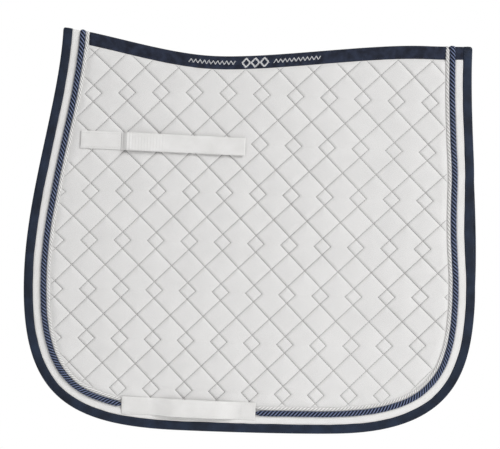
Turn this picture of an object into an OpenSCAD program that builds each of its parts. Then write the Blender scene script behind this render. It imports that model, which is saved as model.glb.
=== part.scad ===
// Dressage saddle pad, folded at its spine, with one quilted half each side.
// X runs along the spine to the rear, Z is up, and the left half is at -Y.
// Y = 0 is the plane between the halves. Z = 0 is the height of the spine's two ends.

/* [Outline] */
// Straight distance between the spine's two ends
spine_length = 575; // [480:5:700]
// Height from the spine's ends down to the lowest point of the edge
pad_drop = 556.5; // [450:0.5:680]
// How far the front edge stands forward of the spine's front end
front_flare = 38.5; // [20:0.5:60]
// Depth of the most forward point of the front edge
front_widest_depth = 340; // [280:5:400]
// How far the rear edge stands behind the spine's rear end
rear_flare = 21; // [10:0.5:40]
// Depth of the rearmost point of the rear edge
rear_widest_depth = 335; // [260:5:380]
// Distance of the lowest point in front of the middle
lowest_forward = 105; // [60:5:150]
// Distance of the bottom edge's bend behind the middle
bottom_bend_back = 132; // [80:2:170]
// How much higher the bottom edge's bend is than the lowest point
bottom_bend_rise = 6.5; // [2:0.5:16]
// How far the spine dips below its ends
spine_dip = 30; // [15:1:45]
// Distance of the spine's lowest point in front of the middle
spine_dip_forward = 74; // [30:2:110]
// Distance of the spine's rear crest behind the middle
spine_crest_back = 225; // [190:5:235]
// Depth of the spine's rear crest
spine_crest_depth = 1.5; // [0.5:0.5:4]

/* [Quilted panel] */
// Clear space between each half and the middle plane
half_gap = 0.5; // [0.3:0.1:2]
// Thickness of the lining
lining_t = 0.8; // [0.4:0.1:1.5]
// Thickness of the wadding in the quilted field
wadding_t = 5.1; // [3:0.1:9]
// Thickness of the wadding where the border presses it
pressed_wadding_t = 1.6; // [0.8:0.1:2.4]
// Thickness of the face fabric
face_t = 0.8; // [0.4:0.1:1.5]
// Clear space between the white cord and the raised quilted field
cord_to_field = 0.5; // [0.4:0.1:10]
// Width of the pressed border along the spine
spine_margin = 19; // [19:0.5:28]

/* [Border] */
// Visible width of the edge binding
binding_w = 13; // [8:0.5:14]
// Thickness of the binding fabric
binding_t = 0.8; // [0.5:0.1:1.2]
// Width of the white border tape
border_tape_w = 10.5; // [6:0.5:11]
// Thickness of the white border tape
border_tape_t = 0.6; // [0.4:0.1:1.2]
// Width of the navy twisted cord
navy_cord_w = 8; // [5:0.2:8]
// How far the navy cord stands out from the pressed border
navy_cord_rise = 4.8; // [3:0.2:6]
// Width of the white twisted cord
white_cord_w = 5.4; // [3:0.2:5.4]
// How far the white cord stands out from the pressed border
white_cord_rise = 3.8; // [2.5:0.1:5]
// Gap between neighbouring pieces of the border
border_gap = 0.2; // [0.1:0.05:0.3]
// Height of the cords above the spine where they cross the fold
cord_over_fold = 2; // [1:0.5:2.5]

/* [Spine] */
// Width of the spine tape on each side of the fold
spine_tape_w = 18; // [12:0.5:18.5]
// Width of the seam tape inside the fold
seam_tape_w = 14; // [8:1:20]
// Thickness of the seam tape inside the fold
seam_tape_t = 1.6; // [0.6:0.1:1.8]
// Drop of the seam tape's top edge below the spine
seam_tape_drop = 1.6; // [1.2:0.1:3]

/* [Billet strap] */
// Width of the webbing of both straps
strap_w = 25; // [20:1:32]
// Thickness of the webbing of both straps
strap_t = 1.6; // [1:0.1:2.4]
// Distance of the billet strap's front end in front of the middle
billet_strap_forward = 255; // [235:1:262]
// Depth of the billet strap's middle line
billet_strap_depth = 155.5; // [100:0.5:220]
// Length of the billet strap's sewn end
billet_sewn_length = 57; // [30:1:70]
// Length of the loop that the billet passes through
billet_span_length = 61; // [45:1:80]
// Length of the billet strap's hook tape
hook_tape_length = 113; // [60:1:130]
// Thickness of the hook tape and of the loop tape
hook_tape_t = 1.4; // [1:0.1:2]
// Gap between the hook tape and the loop tape
hook_gap = 0.3; // [0.3:0.05:0.6]
// How much narrower the hook and loop tapes are than the strap
hook_tape_inset = 1.5; // [0.5:0.5:4]

/* [Girth strap] */
// Distance of the girth strap's front end in front of the middle
girth_strap_forward = 180; // [150:1:200]
// Height of the girth strap's middle line above the pad's lowest point
girth_strap_up = 32; // [30:0.5:60]
// Length of the girth strap's sewn front end
girth_front_sewn = 40; // [20:1:50]
// Length of the loop that the girth passes through
girth_span_length = 125; // [100:1:150]
// Length of the girth strap's sewn rear end
girth_rear_sewn = 23; // [15:1:40]
// Clear height under the middle of each strap's loop
loop_clear = 4.6; // [4.4:0.1:8]
// Length over which a strap rises into its loop
loop_rise_length = 18; // [12:1:20]

/* [Thread] */
// Length of one stitch
stitch_length = 4; // [2:0.5:5]
// Distance from one stitch to the next
stitch_pitch = 6; // [6:0.5:10]
// Width of a stitch
stitch_w = 0.6; // [0.4:0.1:1]
// How far a stitch stands out
stitch_rise = 0.3; // [0.2:0.05:0.5]
// Distance of a row of stitches from the strap's edge
stitch_inset = 3; // [2:0.5:5]

/* [Hidden] */
// Depths through one half, counted from the middle plane
lining_y = half_gap + binding_t;
wadding_y = lining_y + lining_t;
pressed_face_y = wadding_y + pressed_wadding_t;
border_y = pressed_face_y + face_t;
field_face_y = wadding_y + wadding_t;
field_y = field_face_y + face_t;
binding_y = border_y + binding_t;

// Insets of the border pieces, counted from the pad's edge
border_tape_in = binding_w + border_gap;
navy_cord_in = border_tape_in + border_tape_w + border_gap;
white_cord_in = navy_cord_in + navy_cord_w + border_gap;
field_margin = white_cord_in + white_cord_w + cord_to_field;

// The edge and the spine are smooth curves through a few named points
spine_half = spine_length / 2;
front_x = -spine_half - front_flare;
rear_x = spine_half + rear_flare;
bend_z = bottom_bend_rise - pad_drop;
bend_slope = 0.08;
above_spine = 5;
below_pad = pad_drop + 20;
beyond_ends = spine_half + 80;
steps = 10;

// Straps
strap_y = field_y;
billet_front_x = -billet_strap_forward;
billet_seam_x = billet_front_x + billet_sewn_length;
billet_hook_x = billet_seam_x + billet_span_length;
billet_end_x = billet_hook_x + hook_tape_length;
hook_tape_y = strap_y + hook_tape_t + hook_gap;
billet_end_y = hook_tape_y + hook_tape_t;
girth_front_x = -girth_strap_forward;
girth_seam_x = girth_front_x + girth_front_sewn;
girth_rear_seam_x = girth_seam_x + girth_span_length;
girth_end_x = girth_rear_seam_x + girth_rear_sewn;
girth_z = girth_strap_up - pad_drop;
seam_gap = 0.3;

panel_white = [0.88, 0.87, 0.86];
tape_white = [0.92, 0.92, 0.91];
thread_white = [0.97, 0.97, 0.96];
wadding_grey = [0.8, 0.8, 0.78];
binding_navy = [0.13, 0.15, 0.2];
spine_navy = [0.12, 0.14, 0.18];
cord_navy = [0.2, 0.22, 0.32];

// Point and direction at share t of a cubic curve
function curve_point(c, t) =
    pow(1 - t, 3) * c[0] + 3 * pow(1 - t, 2) * t * c[1]
    + 3 * (1 - t) * t * t * c[2] + pow(t, 3) * c[3];
function curve_direction(c, t) =
    pow(1 - t, 2) * (c[1] - c[0]) + 2 * (1 - t) * t * (c[2] - c[1])
    + t * t * (c[3] - c[2]);

// A curve with straight-up ends, or level ends, whose handles are shares of its own box
function upright_curve(a, b, share_a, share_b) =
    [a, [a.x, a.y + share_a * (b.y - a.y)], [b.x, b.y - share_b * (b.y - a.y)], b];
function level_curve(a, b, share_a, share_b) =
    [a, [a.x + share_a * (b.x - a.x), a.y], [b.x - share_b * (b.x - a.x), b.y], b];
function corner_curve(a, b, share_a, share_b) =
    [a, [a.x, a.y + share_a * (b.y - a.y)], [b.x - share_b * (b.x - a.x), b.y], b];

front_end = [-spine_half, 0];
rear_end = [spine_half, 0];
front_widest = [front_x, -front_widest_depth];
rear_widest = [rear_x, -rear_widest_depth];
lowest = [-lowest_forward, -pad_drop];
bend = [bottom_bend_back, bend_z];
bend_direction = [1, bend_slope] / norm([1, bend_slope]);
bend_reach = 52;
rear_corner_reach = rear_x - bottom_bend_back;

edge_curves = [
    upright_curve(front_end, front_widest, 0.29, 0.34),
    corner_curve(front_widest, lowest, 0.81, 0.705),
    [lowest, lowest + [60, 0], bend - bend_reach * bend_direction, bend],
    [bend, bend + rear_corner_reach * bend_direction,
        [rear_x, rear_widest.y + 0.45 * (bend_z - rear_widest.y)], rear_widest],
    upright_curve(rear_widest, rear_end, 0.31, 0.31)
];
spine_low = [-spine_dip_forward, -spine_dip];
spine_crest = [spine_crest_back, -spine_crest_depth];
spine_curves = [
    [front_end, front_end + [61, -5], spine_low - [71, 0], spine_low],
    level_curve(spine_low, spine_crest, 0.27, 0.27),
    level_curve(spine_crest, rear_end, 0.3, 0.3)
];

// The edge moved inwards by d, from above the spine's front end to above its rear end
function inward(c, t, d) =
    let (v = curve_direction(c, t))
    curve_point(c, t) + d * [-v.y, v.x] / norm(v);
function edge_path(d) = concat(
    [[d - spine_half, above_spine]],
    [for (c = edge_curves) for (i = [0 : steps - 1]) inward(c, i / steps, d)],
    [inward(edge_curves[len(edge_curves) - 1], 1, d)],
    [[spine_half - d, above_spine]]
);
spine_path = concat(
    [for (c = spine_curves) for (i = [0 : steps - 1]) curve_point(c, i / steps)],
    [rear_end]
);

// Flat areas, drawn with X along the spine and Y upwards
module inside_edge(d) {
    polygon(edge_path(d));
}

module under_spine(d) {
    lowered = [for (p = spine_path) p - [0, d]];
    polygon(concat(
        [[-beyond_ends, -below_pad], [-beyond_ends, -d]],
        lowered,
        [[beyond_ends, -d], [beyond_ends, -below_pad]]
    ));
}

module panel_area(d) {
    intersection() {
        inside_edge(d);
        under_spine(d);
    }
}

module field_area(d) {
    intersection() {
        inside_edge(field_margin + d);
        under_spine(spine_margin + d);
    }
}

module border_area(from, width, rise = 0) {
    intersection() {
        difference() {
            inside_edge(from);
            inside_edge(from + width);
        }
        under_spine(-rise);
    }
}

module spine_area() {
    intersection() {
        difference() {
            under_spine(0);
            under_spine(spine_tape_w);
        }
        difference() {
            inside_edge(binding_w + border_gap);
            translate([-beyond_ends, -below_pad])
                square([beyond_ends - spine_half + white_cord_in + white_cord_w + border_gap,
                    below_pad + above_spine]);
        }
    }
}

// All that is less than a depth below the rear half of the spine
module rear_spine_area(depth) {
    difference() {
        translate([0, -below_pad])
            square([beyond_ends, below_pad + 2 * above_spine]);
        under_spine(depth);
    }
}

// A flat area made solid between two distances from the middle plane, on the left half
module layer(near, far) {
    translate([0, -near, 0])
        rotate([90, 0, 0])
            linear_extrude(far - near)
                children();
}

module half(side) {
    if (side == "right")
        mirror([0, 1, 0]) children();
    else
        children();
}

// A strap's profile along X, as [x, distance of its inner face from the middle plane]
module webbing(profile, middle_z, width = strap_w) {
    inner = [for (p = profile) [p.x, -p.y]];
    outer = [for (i = [len(profile) - 1 : -1 : 0]) [profile[i].x, -profile[i].y - strap_t]];
    translate([0, 0, middle_z - width / 2])
        linear_extrude(width)
            polygon(concat(inner, outer));
}

module stitch(x, z, upright) {
    size = upright ? [stitch_w, stitch_rise, stitch_length] : [stitch_length, stitch_rise, stitch_w];
    translate([x - size.x / 2, -strap_y - strap_t - stitch_rise, z - size.z / 2])
        cube(size);
}

// A rectangle of stitches inside a sewn end of a strap
module stitch_box(from_x, to_x, middle_z) {
    along = floor((to_x - from_x - 2 * stitch_inset - stitch_length) / stitch_pitch);
    across = floor((strap_w - 2 * stitch_inset - 2 * stitch_length) / stitch_pitch);
    half_w = strap_w / 2 - stitch_inset;
    middle_x = (from_x + to_x) / 2;
    for (i = [0 : along]) {
        stitch(middle_x + (i - along / 2) * stitch_pitch, middle_z - half_w, false);
        stitch(middle_x + (i - along / 2) * stitch_pitch, middle_z + half_w, false);
    }
    for (i = [0 : across]) {
        stitch(from_x + stitch_inset / 2, middle_z + (i - across / 2) * stitch_pitch, true);
        stitch(to_x - stitch_inset / 2, middle_z + (i - across / 2) * stitch_pitch, true);
    }
}

module spine_seam_tape() {
    end_gap = binding_w + 2;
    color("white")
        translate([0, seam_tape_t / 2, 0])
            layer(0, seam_tape_t)
                intersection() {
                    difference() {
                        under_spine(seam_tape_drop);
                        under_spine(seam_tape_drop + seam_tape_w);
                    }
                    inside_edge(end_gap);
                }
}

module lining(side) {
    color(panel_white)
        half(side)
            layer(lining_y, wadding_y) panel_area(binding_t);
}

module wadding(side) {
    color(wadding_grey)
        half(side)
            union() {
                layer(wadding_y, pressed_face_y) panel_area(binding_t);
                layer(wadding_y, field_face_y) field_area(face_t);
            }
}

module face_fabric(side) {
    color(panel_white)
        half(side)
            difference() {
                union() {
                    layer(pressed_face_y, border_y) panel_area(binding_t);
                    layer(pressed_face_y, field_y) field_area(0);
                }
                layer(pressed_face_y - 1, field_face_y) field_area(face_t);
            }
}

module edge_binding(side) {
    color(binding_navy)
        half(side)
            difference() {
                layer(half_gap, binding_y) border_area(0, binding_w);
                layer(lining_y, border_y) panel_area(binding_t);
            }
}

// The tape folds over the spine at the front, and stops at the spine tape at the rear
module border_tape(side) {
    color(tape_white)
        half(side)
            difference() {
                layer(half_gap, border_y + border_tape_t)
                    difference() {
                        border_area(border_tape_in, border_tape_w);
                        rear_spine_area(spine_tape_w + border_gap);
                    }
                layer(0, border_y) panel_area(binding_t);
            }
}

// One run of a cord, from the fold down to its end of the girth strap
module cord_run(side, from, width, rise, is_front) {
    cut_x = is_front ? -beyond_ends : girth_end_x + border_gap;
    cut_w = is_front ? beyond_ends + girth_front_x - border_gap : beyond_ends;
    half(side)
        difference() {
            layer(half_gap, border_y + rise)
                intersection() {
                    border_area(from, width, cord_over_fold);
                    translate([cut_x, -below_pad])
                        square([cut_w, below_pad + above_spine]);
                }
            layer(0, border_y) panel_area(binding_t);
            layer(0, binding_y) spine_area();
        }
}

module navy_cord(side, is_front) {
    color(cord_navy)
        cord_run(side, navy_cord_in, navy_cord_w, navy_cord_rise, is_front);
}

module white_cord(side, is_front) {
    color(tape_white)
        cord_run(side, white_cord_in, white_cord_w, white_cord_rise, is_front);
}

module spine_tape(side) {
    color(spine_navy)
        half(side)
            difference() {
                layer(half_gap, binding_y) spine_area();
                layer(0, border_y) panel_area(binding_t);
            }
}

module loop_tape(side) {
    width = strap_w - 2 * hook_tape_inset;
    color(tape_white)
        half(side)
            translate([billet_hook_x, -strap_y - hook_tape_t, -billet_strap_depth - width / 2])
                cube([hook_tape_length - hook_tape_inset, hook_tape_t, width]);
}

module hook_tape(side) {
    width = strap_w - 2 * hook_tape_inset;
    color(tape_white)
        half(side)
            translate([billet_hook_x, -hook_tape_y - hook_tape_t, -billet_strap_depth - width / 2])
                cube([hook_tape_length - hook_tape_inset, hook_tape_t, width]);
}

module billet_strap_end(side) {
    color(tape_white)
        half(side)
            webbing([[billet_front_x, strap_y], [billet_seam_x, strap_y]], -billet_strap_depth);
}

module billet_strap(side) {
    loop_y = strap_y + loop_clear;
    color(tape_white)
        half(side)
            webbing([
                [billet_seam_x + seam_gap, strap_y],
                [billet_seam_x + loop_rise_length, loop_y],
                [billet_hook_x - loop_rise_length / 2, loop_y],
                [billet_hook_x, billet_end_y],
                [billet_end_x, billet_end_y]
            ], -billet_strap_depth);
}

module billet_stitches(side) {
    color(thread_white)
        half(side)
            stitch_box(billet_front_x, billet_seam_x, -billet_strap_depth);
}

module girth_strap(side) {
    loop_y = strap_y + loop_clear;
    color(tape_white)
        half(side)
            webbing([
                [girth_front_x, strap_y],
                [girth_seam_x, strap_y],
                [girth_seam_x + loop_rise_length, loop_y],
                [girth_rear_seam_x - loop_rise_length, loop_y],
                [girth_rear_seam_x, strap_y],
                [girth_end_x, strap_y]
            ], girth_z);
}

module girth_stitches(side) {
    color(thread_white)
        half(side) {
            stitch_box(girth_front_x, girth_seam_x, girth_z);
            stitch_box(girth_rear_seam_x, girth_end_x, girth_z);
        }
}

spine_seam_tape();
face_fabric("left");  // left_face_fabric
wadding("left");  // left_wadding
lining("left");  // left_lining
edge_binding("left");  // left_edge_binding
border_tape("left");  // left_border_tape
navy_cord("left", true);  // left_front_navy_cord
navy_cord("left", false);  // left_rear_navy_cord
white_cord("left", true);  // left_front_white_cord
white_cord("left", false);  // left_rear_white_cord
spine_tape("left");  // left_spine_tape
loop_tape("left");  // left_loop_tape
billet_strap_end("left");  // left_billet_strap_end
billet_strap("left");  // left_billet_strap
hook_tape("left");  // left_hook_tape
billet_stitches("left");  // left_billet_stitches
girth_strap("left");  // left_girth_strap
girth_stitches("left");  // left_girth_stitches
face_fabric("right");  // right_face_fabric
wadding("right");  // right_wadding
lining("right");  // right_lining
edge_binding("right");  // right_edge_binding
border_tape("right");  // right_border_tape
navy_cord("right", true);  // right_front_navy_cord
navy_cord("right", false);  // right_rear_navy_cord
white_cord("right", true);  // right_front_white_cord
white_cord("right", false);  // right_rear_white_cord
spine_tape("right");  // right_spine_tape
loop_tape("right");  // right_loop_tape
billet_strap_end("right");  // right_billet_strap_end
billet_strap("right");  // right_billet_strap
hook_tape("right");  // right_hook_tape
billet_stitches("right");  // right_billet_stitches
girth_strap("right");  // right_girth_strap
girth_stitches("right");  // right_girth_stitches
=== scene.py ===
"""Looks of the folded, quilted dressage pad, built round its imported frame.

Shapes are worked out in millimetres, in the frame's own axes: X along the spine to the rear, Z up and
the left half at -Y. A layer's level is its distance from the middle plane. The left half's pieces are
made first, and the right half's are their mirror images.
"""

import math

import bmesh
import bpy
import numpy as np
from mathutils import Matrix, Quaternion, Vector, kdtree


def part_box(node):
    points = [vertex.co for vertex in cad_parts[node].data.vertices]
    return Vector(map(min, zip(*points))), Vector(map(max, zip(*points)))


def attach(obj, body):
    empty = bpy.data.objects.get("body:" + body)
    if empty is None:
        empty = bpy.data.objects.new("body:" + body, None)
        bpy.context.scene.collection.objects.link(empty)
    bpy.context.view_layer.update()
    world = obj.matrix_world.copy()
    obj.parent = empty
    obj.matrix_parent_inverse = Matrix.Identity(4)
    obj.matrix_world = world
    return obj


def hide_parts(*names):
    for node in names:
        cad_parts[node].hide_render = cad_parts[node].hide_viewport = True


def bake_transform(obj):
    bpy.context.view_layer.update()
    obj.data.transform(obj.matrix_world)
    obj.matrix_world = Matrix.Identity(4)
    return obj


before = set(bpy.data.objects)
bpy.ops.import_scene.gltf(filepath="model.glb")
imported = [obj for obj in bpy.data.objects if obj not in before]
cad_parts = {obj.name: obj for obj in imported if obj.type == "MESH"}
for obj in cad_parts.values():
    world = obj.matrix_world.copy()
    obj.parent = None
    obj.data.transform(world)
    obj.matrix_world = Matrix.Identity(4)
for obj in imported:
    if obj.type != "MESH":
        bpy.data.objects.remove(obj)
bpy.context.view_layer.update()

MM = 0.001


def node_box(node):
    """Lowest and highest corner of a node of the frame, in millimetres."""
    low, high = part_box(node)
    return np.array(low) / MM, np.array(high) / MM


# Outline, from the frame's own boxes where they give it
EDGE_LOW, EDGE_HIGH = node_box("left_edge_binding")
FRONT_X, REAR_X, BOTTOM_Z = EDGE_LOW[0], EDGE_HIGH[0], EDGE_LOW[2]
SPINE_HALF = 287.5
FRONT_WIDEST_Z, REAR_WIDEST_Z = -340.0, -335.0
LOWEST_X, BEND_X, BEND_RISE, BEND_SLOPE = -105.0, 132.0, 6.5, 0.08
SPINE_LOW = (-74.0, -30.0)
SPINE_CREST = (225.0, -1.5)

# Levels of the layers, from the frame
TAPE_Y = -node_box("left_border_tape")[0][1]
BORDER_TAPE_T = 0.6
BORDER_Y = TAPE_Y - BORDER_TAPE_T
NAVY_CORD_Y = -node_box("left_front_navy_cord")[0][1]
WHITE_CORD_Y = -node_box("left_front_white_cord")[0][1]
FIELD_Y = -node_box("left_face_fabric")[0][1]
LINING_Y = -node_box("left_lining")[1][1]
BINDING_Y = -node_box("left_edge_binding")[0][1]
BINDING_INNER_Y = -node_box("left_edge_binding")[1][1]
PANEL_MIDDLE_Y = 3.0

# Widths across the border, counted inwards from the edge
BINDING_W, TAPE_W, NAVY_W, WHITE_W = 13.0, 10.5, 8.0, 5.4
EDGE_TURN, BORDER_GAP = 2.5, 0.2
TAPE_IN = BINDING_W + BORDER_GAP
NAVY_IN = TAPE_IN + TAPE_W + BORDER_GAP
WHITE_IN = NAVY_IN + NAVY_W + BORDER_GAP
FIELD_IN = WHITE_IN + WHITE_W + 2 * BORDER_GAP

# Cords: strands, and length of a full turn, below zero for a left-hand twist. At the fold
# they lie pressed down.
NAVY_STRANDS, NAVY_LAY = 4, -22.0
WHITE_STRANDS, WHITE_LAY = 3, -16.0
CORD_DIP = 2.4

# The left half's rear edge is drawn in round this height, so that the right half shows behind it
REAR_PEEK, PEEK_Z, PEEK_REACH = 4.4, -262.0, 105.0

# The tape over the fold, and how far below the fold the quilted field starts
SPINE_TAPE_W = 18.0
FIELD_BELOW = SPINE_TAPE_W + 0.5

# Straps, from the frame
SEWN_LOW, SEWN_HIGH = node_box("left_billet_strap_end")
STRAP_LOW, STRAP_HIGH = node_box("left_billet_strap")
HOOK_LOW, HOOK_HIGH = node_box("left_hook_tape")
LOOP_LOW, LOOP_HIGH = node_box("left_loop_tape")
GIRTH_LOW, GIRTH_HIGH = node_box("left_girth_strap")
STRAP_T = -SEWN_LOW[1] - FIELD_Y
GIRTH_DROP = FIELD_Y - BORDER_Y - 0.2
GIRTH_FRONT_SEWN, GIRTH_REAR_SEWN = 40.0, 23.0
RIB_PITCH = 4.2
STRAP_SLOPE = 20.0
STITCH_R, STRAP_STITCH_R, MOTIF_STITCH_R = 0.24, 0.35, 0.27
BILLET_RISE, BILLET_FALL, GIRTH_RISE = 7.5, 30.0, 36.0

# Half the length of the net that the quilting is cut from
NET_REACH = 340

# Quilting: a cell is the distance between neighbouring diagonals, counted along a row
CELL = 11.5
COLUMN, ROW = 4 * CELL, 6 * CELL
FIRST_COLUMN_X, FIRST_ROW_DEPTH = -3.7, 220.4
COLUMN_STRETCH, ROW_STRETCH, ROW_TAPER = 1.0185, 1.0105, 0.0034
STITCH_LEVEL, CREST_LEVEL = 6.5, 8.3
PUFF_REACH, PUFF_FRAMES = 11.0, 20
CREASE_SHARE, CREASE_REACH = 0.5, 0.6
CREASE_STEP = CREASE_REACH * math.sqrt(2) / CELL

# The edge line starts and ends this far above the spine
SPINE_AT = 24.0

SIDES = ("left", "right")


# ---------------------------------------------------------------- curves of the pad

def ease(t):
    t = np.clip(t, 0, 1)
    return t * t * (3 - 2 * t)


def cubic(curve, count):
    """Evenly shared points of a cubic curve, without its last one."""
    a, b, c, d = (np.array(p, float) for p in curve)
    t = np.linspace(0, 1, count, endpoint=False)[:, None]
    return (1 - t) ** 3 * a + 3 * (1 - t) ** 2 * t * b + 3 * (1 - t) * t * t * c + t ** 3 * d


def upright_curve(a, b, share_a, share_b):
    """A curve whose ends run straight up and down."""
    rise = b[1] - a[1]
    return [a, (a[0], a[1] + share_a * rise), (b[0], b[1] - share_b * rise), b]


def edge_curves():
    """The pad's edge, from the spine's front end down, along the bottom and up to its rear end."""
    front, rear = (-SPINE_HALF, 0.0), (SPINE_HALF, 0.0)
    front_widest, rear_widest = (FRONT_X, FRONT_WIDEST_Z), (REAR_X, REAR_WIDEST_Z)
    lowest, bend = (LOWEST_X, BOTTOM_Z), (BEND_X, BOTTOM_Z + BEND_RISE)
    slope = np.array([1, BEND_SLOPE]) / math.hypot(1, BEND_SLOPE)
    drop = BOTTOM_Z - FRONT_WIDEST_Z
    corner = REAR_X - BEND_X
    return [
        upright_curve(front, front_widest, 0.29, 0.34),
        [front_widest, (FRONT_X, FRONT_WIDEST_Z + 0.81 * drop),
         (LOWEST_X - 0.705 * (LOWEST_X - FRONT_X), BOTTOM_Z), lowest],
        [lowest, (LOWEST_X + 60, BOTTOM_Z), np.array(bend) - 52 * slope, bend],
        [bend, np.array(bend) + corner * slope,
         (REAR_X, REAR_WIDEST_Z + 0.45 * (bend[1] - REAR_WIDEST_Z)), rear_widest],
        upright_curve(rear_widest, rear, 0.31, 0.31),
    ]


def spine_line():
    """The spine's height along the pad, as two rows of numbers: X and Z."""
    span = SPINE_CREST[0] - SPINE_LOW[0]
    rest = SPINE_HALF - SPINE_CREST[0]
    curves = [
        [(-SPINE_HALF, 0), (-SPINE_HALF + 61, -5), (SPINE_LOW[0] - 71, SPINE_LOW[1]), SPINE_LOW],
        [SPINE_LOW, (SPINE_LOW[0] + 0.27 * span, SPINE_LOW[1]),
         (SPINE_CREST[0] - 0.27 * span, SPINE_CREST[1]), SPINE_CREST],
        [SPINE_CREST, (SPINE_CREST[0] + 0.3 * rest, SPINE_CREST[1]),
         (SPINE_HALF - 0.3 * rest, 0), (SPINE_HALF, 0)],
    ]
    points = np.concatenate([cubic(c, 60) for c in curves] + [[(SPINE_HALF, 0)]])
    return points[:, 0], points[:, 1]


SPINE_XS, SPINE_ZS = spine_line()


def spine_height(x):
    return np.interp(x, SPINE_XS, SPINE_ZS)


def hangs_back(x, z):
    """How far forward the left half's rear edge is drawn, by place."""
    return REAR_PEEK * ease((x - 120) / 170) * ease(1 - np.abs(z - PEEK_Z) / PEEK_REACH)


def edge_line(spacing=2.0, above=SPINE_AT):
    """Places and inward directions every few millimetres of the edge, from above its ends."""
    curve = np.concatenate([cubic(c, 200) for c in edge_curves()])
    curve[:, 0] -= hangs_back(curve[:, 0], curve[:, 1])
    points = np.concatenate([[(-SPINE_HALF, above)], curve, [(SPINE_HALF, 0), (SPINE_HALF, above)]])
    step = np.hypot(*np.diff(points, axis=0).T)
    run = np.concatenate([[0], np.cumsum(step)])
    at = np.linspace(0, run[-1], int(run[-1] / spacing) + 1)
    line = np.stack([np.interp(at, run, points[:, k]) for k in (0, 1)], 1)
    way = np.gradient(line, at, axis=0)
    for _ in range(8):
        way[1:-1] = (way[:-2] + 2 * way[1:-1] + way[2:]) / 4
    way /= np.hypot(*way.T)[:, None]
    return at, line, np.stack([-way[:, 1], way[:, 0]], 1)


EDGE_AT, EDGE_LINE, EDGE_IN = edge_line()
EDGE_LENGTH = EDGE_AT[-1]
EDGE_TREE = kdtree.KDTree(len(EDGE_LINE))
for index, spot in enumerate(EDGE_LINE):
    EDGE_TREE.insert((spot[0], spot[1], 0), index)
EDGE_TREE.balance()


def inset_of(x, z):
    """Distance of flat points from the pad's edge, above 0 inside it."""
    near = np.array([EDGE_TREE.find((a, b, 0))[1] for a, b in zip(x.ravel(), z.ravel())], int)
    away = np.stack([x.ravel(), z.ravel()], 1) - EDGE_LINE[near]
    return (away * EDGE_IN[near]).sum(1).reshape(x.shape)


def over_fold(x, z, level):
    """Points of a layer at that level. Near the spine the layer bends over the fold to the other half."""
    top = spine_height(x)
    arc = top - z - BORDER_Y + math.pi / 2 * level
    angle = arc / level
    bent = angle < math.pi / 2
    y = np.where(bent, -level * np.sin(angle), -level)
    height = np.where(bent, top - BORDER_Y + level * np.cos(angle), z)
    return np.stack([x, y, height], -1)


def along_edge(at, inset, level):
    """Points given by their place along the edge, their inset from it and their level."""
    at, inset, level = np.broadcast_arrays(at, inset, level)
    x, z = (
        np.interp(at, EDGE_AT, EDGE_LINE[:, k]) + inset * np.interp(at, EDGE_AT, EDGE_IN[:, k])
        for k in (0, 1)
    )
    return over_fold(x, z, level)


def place_under(x, inset):
    """How far along the edge the bottom run passes that X, at that inset."""
    bottom = (EDGE_AT > 0.3 * EDGE_LENGTH) & (EDGE_AT < 0.7 * EDGE_LENGTH)
    xs = (EDGE_LINE + inset * EDGE_IN)[bottom, 0]
    return float(np.interp(x, xs, EDGE_AT[bottom]))


# ---------------------------------------------------------------- small helpers

def strand_share(strands):
    """A strand's radius as a share of the cord's, where neighbouring strands just touch."""
    lean = math.sin(math.pi / strands)
    return lean / (1 + lean)


def ripple(at, seed, length, roughness=3):
    """A smooth, repeatable wander from -1 to 1 whose longest wave has that length."""
    dice = np.random.default_rng(seed)
    total = np.zeros_like(at, dtype=float)
    weight = 0.0
    for octave in range(roughness):
        share = 0.6 ** octave
        total += share * np.sin(2 * np.pi * at / (length / 1.9 ** octave) * dice.uniform(0.85, 1.15)
                                + dice.uniform(0, 2 * np.pi))
        weight += share
    return total / weight


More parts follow.
